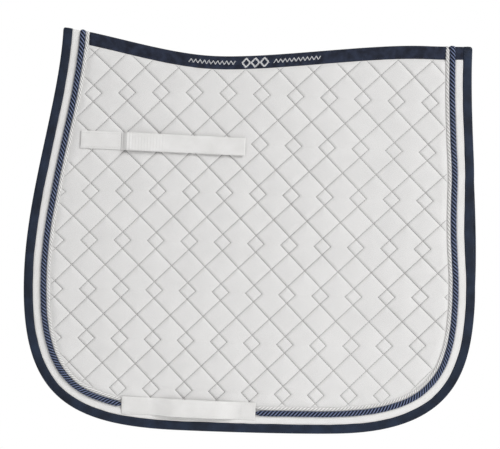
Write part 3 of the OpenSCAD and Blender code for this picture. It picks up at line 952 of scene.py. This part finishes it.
def edge_binding():
    """Binding folded round the edge, with small puckers where it was sewn on."""
    at = np.arange(2.0, EDGE_LENGTH - 2, 2.2)
    leg = np.linspace(0, 1, 8)[:, None]
    leg_run = BINDING_W - EDGE_TURN
    outer_leg = np.hstack([BINDING_W - leg_run * leg, 0 * leg + (BORDER_Y + BINDING_Y) / 2])
    inner_leg = np.hstack([EDGE_TURN + leg_run * leg, 0 * leg + (LINING_Y + BINDING_INNER_Y) / 2])
    turn = np.linspace(0, np.pi, 9)[1:-1][:, None]
    middle = (outer_leg[0, 1] + inner_leg[0, 1]) / 2
    half = (outer_leg[0, 1] - inner_leg[0, 1]) / 2
    round_edge = np.hstack([EDGE_TURN - 2.1 * np.sin(turn), middle + half * np.cos(turn)])
    line = np.concatenate([outer_leg, round_edge, inner_leg])
    way = np.gradient(line, axis=0)
    out = np.stack([way[:, 1], -way[:, 0]], 1) / np.hypot(*way.T)[:, None]
    outward = out @ [0, 1] * (line[:, 1] > middle) + out @ [-1, 0] * (line[:, 0] < EDGE_TURN)
    out *= np.where(outward.sum() > 0, 1, -1)
    thick = np.full(len(line), 0.4)
    thick[[0, -1]] = 0.22
    rear = ease((at - 0.55 * EDGE_LENGTH) / (0.2 * EDGE_LENGTH))
    free = np.clip((BINDING_W - line[:, 0]) / 4, 0, 1) * ease(line[:, 0] / 4)
    slanted = at[:, None] + line[None, :, 0] * 1.3
    pucker = ripple(at, 3, 17.0)[:, None] * 0.5 + ripple(slanted, 5, 7.5) * 0.5
    swell = (0.25 + 0.45 * rear[:, None]) * pucker * free + 0.3 * free
    wander = 0.45 * ripple(at, 8, 90.0)[:, None]
    outer = line[None] + out[None] * (thick[None] + swell)[..., None]
    inner = line[None] - out[None] * (thick[None] - swell * 0.8)[..., None]
    loop = np.concatenate([outer, inner[:, ::-1]], 1)
    loop[..., 0] += wander * (loop[..., 0] > 8)
    loop[..., 0] = np.maximum(loop[..., 0], -0.6)
    rows = along_edge(at[:, None], loop[..., 0], np.maximum(loop[..., 1], 0.25))
    run = np.concatenate([[0], np.cumsum(np.hypot(*np.diff(line, axis=0).T))])
    across = np.concatenate([run, run[::-1], run[:1]])
    return tube_piece("edge_binding", BINDING, rows, at, across, cut=True)


def ribbon(at, middle, width, low, high, waves=0.15, seed=1):
    """Rows of a flat tape's rounded section along the edge, and the cloth coordinate round it."""
    share = np.array([-0.5, -0.47, -0.25, 0, 0.25, 0.47, 0.5])
    top = np.full(7, high) - np.array([0.25, 0, 0, 0, 0, 0, 0.25]) * (high - low)
    section = np.concatenate([np.stack([share, top], 1), np.stack([share[::-1], np.full(7, low)], 1)])
    inset = middle + section[:, 0] * width + waves * ripple(at, seed, 70.0)[:, None]
    lift = ripple(at[:, None] + 9 * section[:, 0], seed + 1, 34.0) * (section[:, 1] > low)
    level = section[:, 1] + waves * lift
    across = np.concatenate([section[:, 0] * width, [section[0, 0] * width]])
    return along_edge(at[:, None], inset, level), across


def border_tape():
    """White woven tape inside the binding. It crosses the fold at the front."""
    at = np.arange(2.0, EDGE_LENGTH - SPINE_AT - SPINE_TAPE_W + 3, 2.5)
    rows, across = ribbon(at, TAPE_IN + TAPE_W / 2, TAPE_W, BORDER_Y - 0.3, TAPE_Y, seed=11)
    return tube_piece("border_tape", BORDER_TAPE, rows, at, across, cut=True)


def twisted_cord(name, material, first, last, inset, radius, top, strands, lay, end_taper):
    """A laid cord along the edge: each strand is its own tube, wound round the cord's middle line."""
    strand_r = radius * strand_share(strands)
    wind_r = radius - strand_r
    count = int((last - first) / 0.9)
    at = np.linspace(first, last, count)
    sides = 8
    turns = np.linspace(0, 2 * np.pi, sides, endpoint=False)
    slim = (1 - 0.45 * ease(1 - (last - at) / 7) * end_taper[1]
            - 0.45 * ease(1 - (at - first) / 7) * end_taper[0])
    loose = 1 + 0.05 * ripple(at, 21, 40.0)
    middle_inset = inset + 0.3 * ripple(at, 22, 120.0)
    pressed = ease(1 - (np.minimum(at, EDGE_LENGTH - at) - SPINE_AT) / 16)
    flatten = 0.8 - 0.3 * pressed
    middle_level = (top - CORD_DIP * pressed - radius * flatten)[:, None]
    rate = 2 * np.pi / lay
    reach = wind_r * slim
    thick = strand_r * slim * loose
    stock = Stock()
    for k in range(strands):
        wind = 2 * np.pi * (at / lay + k / strands)
        way = np.stack([np.ones_like(at), -reach * rate * np.sin(wind), reach * rate * np.cos(wind)], 1)
        way /= np.linalg.norm(way, axis=1)[:, None]
        out = np.stack([0 * at, np.cos(wind), np.sin(wind)], 1)
        side = np.cross(way, out)
        ring = out[:, None] * np.cos(turns)[None, :, None] + side[:, None] * np.sin(turns)[None, :, None]
        spots = out[:, None] * reach[:, None, None] + ring * thick[:, None, None]
        rows = along_edge(
            at[:, None] + spots[..., 0],
            middle_inset[:, None] + spots[..., 1],
            middle_level + flatten[:, None] * spots[..., 2],
        )
        length = at * math.hypot(1, rate * wind_r)
        stock.tube(rows, length, np.arange(sides + 1) * (2 * np.pi * strand_r / sides))
    return stock.piece(name, material, cut=True)


# ---------------------------------------------------------------- spine

def spine_ribbon(from_x, to_x, depth, low, high, spacing=3.0):
    """Rows of a tape laid over the fold, from its lower edge up past the middle plane."""
    x = np.arange(from_x, to_x + spacing, spacing)
    x = np.minimum(x, to_x)
    below = np.concatenate([[depth, depth - 0.5], np.linspace(depth - 3, BORDER_Y, 6),
                            np.linspace(BORDER_Y, -5.0, 8)[1:]])
    edge = np.where(np.arange(len(below)) == 0, 0.6, 1.0)
    wave = tape_wave(x[:, None], below)
    top = spine_height(x)[:, None]
    outer = over_fold(x[:, None] + 0 * below, top - below, low + (high - low) * edge + wave)
    inner = over_fold(x[:, None] + 0 * below, top - below, low + 0 * below + wave * 0.5)
    rows = np.concatenate([outer, inner[:, ::-1]], 1)
    return x, rows, np.concatenate([below, below[::-1], below[:1]])


def tape_wave(x, below):
    """How far the fold's tape lifts off the panel as it wanders along the spine."""
    return 0.18 * ripple(x, 31, 55.0) * ease((below - BORDER_Y) / 5)


def on_spine_tape(spots):
    """Flat places and levels of spots given as X and depth below the spine, on the fold's tape."""
    x, below = spots.T
    return np.stack([x, spine_height(x) - below], 1), BINDING_Y + 0.1 + tape_wave(x, below)


def satin_line(corners, width, spacing=0.5):
    """Pairs of ends of the short threads that cover a line of satin stitch, as X and depth."""
    starts, ends = [], []
    corners = np.array(corners, float)
    for a, b in zip(corners[:-1], corners[1:]):
        way = (b - a) / np.hypot(*(b - a))
        lean = np.array([-way[1], way[0]]) * width / 2 + way * 0.25 * width
        for share in np.arange(0, 1, spacing / np.hypot(*(b - a))):
            middle = a + (b - a) * share
            starts.append(middle - lean)
            ends.append(middle + lean)
    return starts, ends


def spine_motif():
    """A plain woven-in pattern on the fold's tape: lozenges between two runs of zigzag."""
    middle_x, depth, half_w, half_h, point = -16.0, 9.4, 6.4, 6.3, 0.8
    zigzag_step, zigzag_reach = 3.1, 2.5
    starts, ends = [], []
    for k in (-1, 0, 1):
        x = middle_x + 2 * half_w * k
        lozenge = [(x - half_w + point, depth), (x, depth - half_h), (x + half_w - point, depth),
                   (x, depth + half_h), (x - half_w + point, depth)]
        for found, more in zip((starts, ends), satin_line(lozenge, 2.6)):
            found.extend(more)
    for first, last in ((-109.0, -42.0), (10.0, 76.0)):
        turns = np.arange(first, last, zigzag_step)
        zigzag = [(x, depth - 0.6 + zigzag_reach * (-1) ** k) for k, x in enumerate(turns)]
        for found, more in zip((starts, ends), satin_line(zigzag, 1.5, 0.6)):
            found.extend(more)
    flat_starts, level = on_spine_tape(np.array(starts))
    flat_ends, _ = on_spine_tape(np.array(ends))
    return thread_piece("spine_motif", SILVER_THREAD, flat_starts, flat_ends, level + 0.1,
                        MOTIF_STITCH_R)


def running_stitches(spots_at, first, last, pitch=3.4, share=0.72):
    """Pairs of ends of a row of stitches; spots_at turns distances along the row into flat places."""
    at = np.arange(first, last, pitch)
    return spots_at(at - share * pitch / 2), spots_at(at + share * pitch / 2)


def flat_edge(at, inset):
    """Flat places along the edge at that inset."""
    return np.stack([np.interp(at, EDGE_AT, EDGE_LINE[:, k]) + inset * np.interp(at, EDGE_AT, EDGE_IN[:, k])
                     for k in (0, 1)], 1)


def border_stitching(name, material, rows):
    """Rows of stitches along the border's pieces, each row an inset, a level and how far it runs."""
    stock = Stock()
    for inset, level, first, last in rows:
        starts, ends = running_stitches(lambda at: flat_edge(at, inset), first, last)
        add_stitches(stock, starts, ends, np.full(len(starts), level), STITCH_R)
    return stock.piece(name, material)


def spine_stitching():
    """The row of stitches along the lower edge of the fold's tape."""
    low, high = node_box("left_spine_tape")
    below = SPINE_TAPE_W - 1.6
    starts, ends = running_stitches(
        lambda x: np.stack([x, spine_height(x) - below], 1), low[0] + 3, high[0] - 3)
    level = BINDING_Y + 0.12 + tape_wave((starts[:, 0] + ends[:, 0]) / 2, np.array(below))
    return thread_piece("spine_stitching", NAVY_THREAD, starts, ends, level, STITCH_R)


def spine_tape():
    """Navy tape over the fold, from the white cord at the front to the binding at the rear."""
    low, high = node_box("left_spine_tape")
    x, rows, across = spine_ribbon(low[0], high[0], SPINE_TAPE_W, BORDER_Y, BINDING_Y + 0.1)
    return tube_piece("spine_tape", SPINE_TAPE, rows, x, across, cut=True)


def seam_tape():
    """White tape inside the fold, over the seam that joins the two halves."""
    low, high = node_box("spine_seam_tape")
    x = np.arange(low[0], high[0], 4.0)
    lower_edge, crest = 15.5, 3.9
    below = np.concatenate([np.linspace(lower_edge, BORDER_Y, 5), np.linspace(BORDER_Y, crest, 4)[1:]])
    top = spine_height(x)[:, None]
    left = over_fold(x[:, None] + 0 * below, top - below, np.full(below.shape, 0.85))
    right = left[:, ::-1] * [1, -1, 1]
    inside_left = over_fold(x[:, None] + 0 * below, top - below, np.full(below.shape, 0.35))
    inside_right = inside_left[:, ::-1] * [1, -1, 1]
    rows = np.concatenate([left, right, inside_right[:, ::-1], inside_left[:, ::-1]], 1)
    return tube_piece("seam_tape", SEAM_TAPE, rows, x, np.arange(rows.shape[1] + 1) * 3.0)


# ---------------------------------------------------------------- straps

def webbing_rows(x, level, low_z, high_z, thick, crown=0.25):
    """Rows of a flat strap's section at each X, whose inner face is at that level."""
    share = np.array([0, 0.03, 0.2, 0.5, 0.8, 0.97, 1.0])
    edge = np.array([0.3, 0, 0, 0, 0, 0, 0.3])
    z = low_z + share * (high_z - low_z)
    bulge = crown * np.sin(np.pi * share)
    outer = level[:, None] + thick[:, None] * (1 - edge) + bulge
    inner = level[:, None] + thick[:, None] * edge + bulge * 0.3
    x2 = np.broadcast_to(x[:, None], outer.shape)
    z2 = np.broadcast_to(z, outer.shape)
    rows = np.concatenate([
        np.stack([x2, -outer, z2], -1),
        np.stack([x2, -inner, z2], -1)[:, ::-1],
    ], 1)
    across = np.concatenate([z, z[::-1], z[:1]])
    return rows, across


def billet_strap_end():
    """The billet strap's sewn front end, flat on the panel and turned under at its front."""
    front, rear = SEWN_LOW[0], SEWN_HIGH[0]
    x = np.concatenate([[front, front + 0.5], np.arange(front + 2, rear, 1.5), [rear - 0.1]])
    thick = np.full(len(x), STRAP_T)
    thick[0] *= 0.6
    rows, across = webbing_rows(x, np.full(len(x), FIELD_Y), SEWN_LOW[2], SEWN_HIGH[2], thick, 0.05)
    return tube_piece("billet_strap_end", WEBBING, rows, x, across)


def billet_strap():
    """The billet strap's free part: a ribbed loop and a smooth end that closes on the panel."""
    x = np.arange(STRAP_LOW[0], STRAP_HIGH[0] + 0.3, 0.6)
    hook_x = HOOK_LOW[0]
    rise = ease((x - STRAP_LOW[0] - 0.5) / BILLET_RISE)
    fall = ease((hook_x - x) / BILLET_FALL)
    loop = -STRAP_LOW[1] - STRAP_T
    flat = -HOOK_LOW[1]
    level = np.where(x < hook_x - BILLET_FALL,
                     FIELD_Y + (loop - FIELD_Y) * rise, flat + (loop - flat) * fall)
    first_ribs = 1 - ease((x - STRAP_LOW[0] - 13) / 4)
    ribs = np.where(x < hook_x - 1, (0.2 + 0.2 * first_ribs) * (
        0.5 + 0.5 * np.cos(2 * np.pi * (x - STRAP_LOW[0]) / RIB_PITCH)), 0)
    end = 1 - 0.5 * ease((x - STRAP_HIGH[0] + 1.2) / 1.2)
    rows, across = webbing_rows(x, level, STRAP_LOW[2], STRAP_HIGH[2], (STRAP_T + ribs) * end, 0.12)
    return tube_piece("billet_strap", WEBBING, rows, x, across)


def closing_tape(name, low, high, material):
    """A hook or loop tape: a flat strip with softened edges."""
    front, rear = low[0], high[0]
    x = np.concatenate([[front, front + 0.6], np.arange(front + 3, rear - 1, 4.0), [rear - 0.6, rear]])
    thick = np.full(len(x), high[1] - low[1])
    thick[[0, -1]] *= 0.6
    rows, across = webbing_rows(x, np.full(len(x), -high[1]), low[2], high[2], thick, 0.0)
    return tube_piece(name, material, rows, x, across)


def girth_drop(z):
    """How far the girth strap's sewn ends lean in towards the pressed border at their lower edge."""
    return GIRTH_DROP * (1 - ease((z - GIRTH_LOW[2]) / STRAP_SLOPE))


def girth_strap():
    """The girth strap: sewn down at both ends, with a loop between them."""
    x = np.arange(GIRTH_LOW[0], GIRTH_HIGH[0] + 0.4, 1.0)
    front, rear = GIRTH_LOW[0] + GIRTH_FRONT_SEWN, GIRTH_HIGH[0] - GIRTH_REAR_SEWN
    rise = ease((x - front) / GIRTH_RISE) * ease((rear - x) / GIRTH_RISE)
    loop = -GIRTH_LOW[1] - STRAP_T
    level = FIELD_Y + (loop - FIELD_Y) * rise
    thick = np.full(len(x), STRAP_T) * (1 - 0.4 * (x < GIRTH_LOW[0] + 0.8))
    rows, across = webbing_rows(x, level, GIRTH_LOW[2], GIRTH_HIGH[2], thick, 0.1)
    sewn = 1 - rise[:, None]
    rows[..., 1] += girth_drop(rows[..., 2]) * sewn
    return tube_piece("girth_strap", WEBBING, rows, x, across)


def sewn_box(left, right, bottom, top, inset=3.0):
    """The box of stitches inside a strap's sewn end."""
    return left + inset, right - inset, bottom + inset, top - inset


def strap_stitches(name, boxes, level_of):
    """Boxes of stitches that hold a strap's sewn ends. Each box is its lowest and highest X and Z."""
    pitch, share = 3.4, 0.75
    starts, ends = [], []
    for left, right, bottom, top in boxes:
        corners = np.array([
            (left, bottom), (right, bottom), (right, top), (left, top), (left, bottom)], float)
        for a, b in zip(corners[:-1], corners[1:]):
            count = max(int(np.hypot(*(b - a)) / pitch), 1)
            for k in range(count):
                starts.append(a + (b - a) * (k + 0.5 - share / 2) / count)
                ends.append(a + (b - a) * (k + 0.5 + share / 2) / count)
    starts, ends = np.array(starts), np.array(ends)
    middle = (starts + ends) / 2
    level = level_of(middle[:, 0], middle[:, 1]) + 0.08
    return thread_piece(name, THREAD, starts, ends, level, STRAP_STITCH_R)


# ---------------------------------------------------------------- putting the pad together

def build_panel():
    """The quilted face, the lining and the thread that holds them."""
    fine, plain = (0, CREASE_STEP, 0.5, 1 - CREASE_STEP), (0, CREASE_STEP, 1 - CREASE_STEP)
    puffs = simulated_puffs()
    layer = quilted_piece("face", COTTON, fine, face_level, PANEL_MIDDLE_Y, puffs)
    face = both_sides(layer, "quilted_face")
    fit_to_panel(face, "panel_white", "face_fabric", "wadding")
    layer = quilted_piece("lining", LINING, plain, lining_level, PANEL_MIDDLE_Y - 0.1)
    lining = both_sides(layer, "quilted_lining")
    fit_to_panel(lining, "lining_white", "lining")
    sew_to_panel(both_sides(quilting_thread(), "quilting_thread"))


def build_border():
    """The binding, the white tape and the twisted cords, front and rear of the girth strap."""
    fit_to_panel(both_sides(edge_binding(), "binding"), "binding_navy", "edge_binding")
    fit_to_panel(both_sides(border_tape(), "woven_tape"), "tape_white", "border_tape")
    start, end = 2.0, EDGE_LENGTH - 2.0
    runs = {"front": (start, GIRTH_LOW[0] - 0.4, (0, 1)), "rear": (end, GIRTH_HIGH[0] + 0.4, (1, 0))}
    for run, (far, strap_x, taper) in runs.items():
        for colour, inset, width, top, strands, lay, material in (
            ("navy", NAVY_IN, NAVY_W, NAVY_CORD_Y, NAVY_STRANDS, NAVY_LAY, NAVY_YARN),
            ("white", WHITE_IN, WHITE_W, WHITE_CORD_Y, WHITE_STRANDS, WHITE_LAY, WHITE_YARN),
        ):
            middle = inset + width / 2
            near = place_under(strap_x, middle)
            first, last = min(far, near), max(far, near)
            cord = twisted_cord("cord", material, first, last, middle, width / 2, top, strands, lay, taper)
            part = f"{run}_{colour}_cord"
            fit_to_panel(both_sides(cord, f"{part}_strands"), f"cord_{colour}", part)


def build_border_stitching():
    """The rows of thread along the binding and the white tape."""
    low, high = 26.0, EDGE_LENGTH - 26.0
    binding = border_stitching("stitches", NAVY_THREAD, [(BINDING_W - 1.7, BINDING_Y + 0.3, low, high)])
    tape_rear, side, level = high - SPINE_TAPE_W + 2, 1.4, TAPE_Y + 0.12
    tape = border_stitching("stitches", THREAD, [
        (TAPE_IN + side, level, low, tape_rear), (TAPE_IN + TAPE_W - side, level, low, tape_rear)])
    sew_to_panel(both_sides(binding, "binding_stitching"))
    sew_to_panel(both_sides(tape, "woven_tape_stitching"))


def build_spine():
    """The tape over the fold with its pattern and thread, and the seam tape inside the fold."""
    fit_to_panel(both_sides(spine_tape(), "fold_tape"), "spine_navy", "spine_tape")
    sew_to_panel(both_sides(spine_motif(), "fold_tape_motif"))
    sew_to_panel(both_sides(spine_stitching(), "fold_tape_stitching"))
    tape = seam_tape()
    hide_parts("spine_seam_tape")
    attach(tape, "spine")


def build_straps():
    """The billet strap, its hook and loop strips and the girth strap, each with its thread."""
    fit_to_flap(both_sides(billet_strap_end(), "billet_sewn_end"), "webbing_white", "billet_strap_end")
    fit_to_flap(both_sides(closing_tape("loop", LOOP_LOW, LOOP_HIGH, LOOP_PILE), "loop_strip"),
                "hook_loop_white", "loop_tape")
    fit_to_flap(both_sides(girth_strap(), "girth_loop"), "webbing_white", "girth_strap")
    strap = both_sides(billet_strap(), "billet_loop")
    hook = both_sides(closing_tape("hook", HOOK_LOW, HOOK_HIGH, HOOK_PILE), "hook_strip")
    for side in SIDES:
        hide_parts(f"{side}_billet_strap")
        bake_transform(strap[side])
        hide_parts(f"{side}_hook_tape")
        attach(hook[side], f"{side}_billet_strap")
    strap_top = FIELD_Y + STRAP_T
    billet = strap_stitches("stitches", [
        sewn_box(SEWN_LOW[0], SEWN_HIGH[0], SEWN_LOW[2], SEWN_HIGH[2])],
        lambda x, z: np.full(len(x), strap_top))
    fit_to_flap(both_sides(billet, "billet_stitching"), "thread_white", "billet_stitches")
    girth = strap_stitches("stitches", [
        sewn_box(GIRTH_LOW[0], GIRTH_LOW[0] + GIRTH_FRONT_SEWN, GIRTH_LOW[2], GIRTH_HIGH[2]),
        sewn_box(GIRTH_HIGH[0] - GIRTH_REAR_SEWN, GIRTH_HIGH[0], GIRTH_LOW[2], GIRTH_HIGH[2])],
        lambda x, z: strap_top - girth_drop(z))
    fit_to_flap(both_sides(girth, "girth_stitching"), "thread_white", "girth_stitches")


# ---------------------------------------------------------------- studio

def studio_camera():
    """A long lens square to the left half, rolled a little so that the pad hangs rear end down."""
    middle, width, roll = (-12.4, -263.3), 700.0, math.radians(2.8)
    camera = bpy.data.objects.new("camera", bpy.data.cameras.new("camera"))
    bpy.context.scene.collection.objects.link(camera)
    camera.data.lens, camera.data.sensor_width = 100, 36
    away = width * camera.data.lens / camera.data.sensor_width + FIELD_Y
    camera.location = Vector((middle[0], -away, middle[1])) * MM
    camera.rotation_mode = "QUATERNION"
    camera.rotation_quaternion = Quaternion((1, 0, 0), math.pi / 2) @ Quaternion((0, 0, 1), roll)
    bpy.context.scene.camera = camera


def soft_lamp(name, place, power, size=1.8, target=(0, 0, -0.28)):
    """A square lamp turned to the pad's middle."""
    lamp = bpy.data.objects.new(name, bpy.data.lights.new(name, "AREA"))
    bpy.context.scene.collection.objects.link(lamp)
    lamp.data.size, lamp.data.energy = size, power
    lamp.location = place
    lamp.rotation_mode = "QUATERNION"
    lamp.rotation_quaternion = (Vector(target) - Vector(place)).to_track_quat("-Z", "Y")


def white_world(lit, seen):
    """Even white light all round; the backdrop itself is seen brighter than it lights."""
    world = bpy.data.worlds.new("studio")
    bpy.context.scene.world = world
    world.use_nodes = True
    tree = world.node_tree
    tree.nodes.clear()
    output = tree.nodes.new("ShaderNodeOutputWorld")
    mix = tree.nodes.new("ShaderNodeMixShader")
    path = tree.nodes.new("ShaderNodeLightPath")
    for socket, strength in ((1, lit), (2, seen)):
        background = tree.nodes.new("ShaderNodeBackground")
        background.inputs["Strength"].default_value = strength
        background.inputs["Color"].default_value = (1, 1, 1, 1)
        tree.links.new(background.outputs[0], mix.inputs[socket])
    tree.links.new(path.outputs["Is Camera Ray"], mix.inputs[0])
    tree.links.new(mix.outputs[0], output.inputs[0])


def studio_floor():
    """A round pale floor below the hanging pad."""
    radius, depth = 1.55, -0.85
    bpy.ops.mesh.primitive_circle_add(
        vertices=96, radius=radius, fill_type="NGON", location=(0, 0, depth))
    floor = bpy.context.active_object
    floor.name = "floor"
    paper = bpy.data.materials.new("floor_paper")
    paper.use_nodes = True
    paper.node_tree.nodes["Principled BSDF"].inputs["Base Color"].default_value = (0.9, 0.9, 0.9, 1)
    paper.node_tree.nodes["Principled BSDF"].inputs["Roughness"].default_value = 0.9
    floor.data.materials.append(paper)


studio_camera()
build_panel()
build_border()
build_border_stitching()
build_spine()
build_straps()
white_world(lit=0.3, seen=1.0)
bpy.context.scene.view_settings.view_transform = "Standard"
for row, hand in (("", -1), ("back_", 1)):
    soft_lamp(row + "key", (2.7, hand * 2.5, 1.9), 122)
    soft_lamp(row + "fill", (-1.4, hand * 2.4, 0.1), 12)
studio_floor()
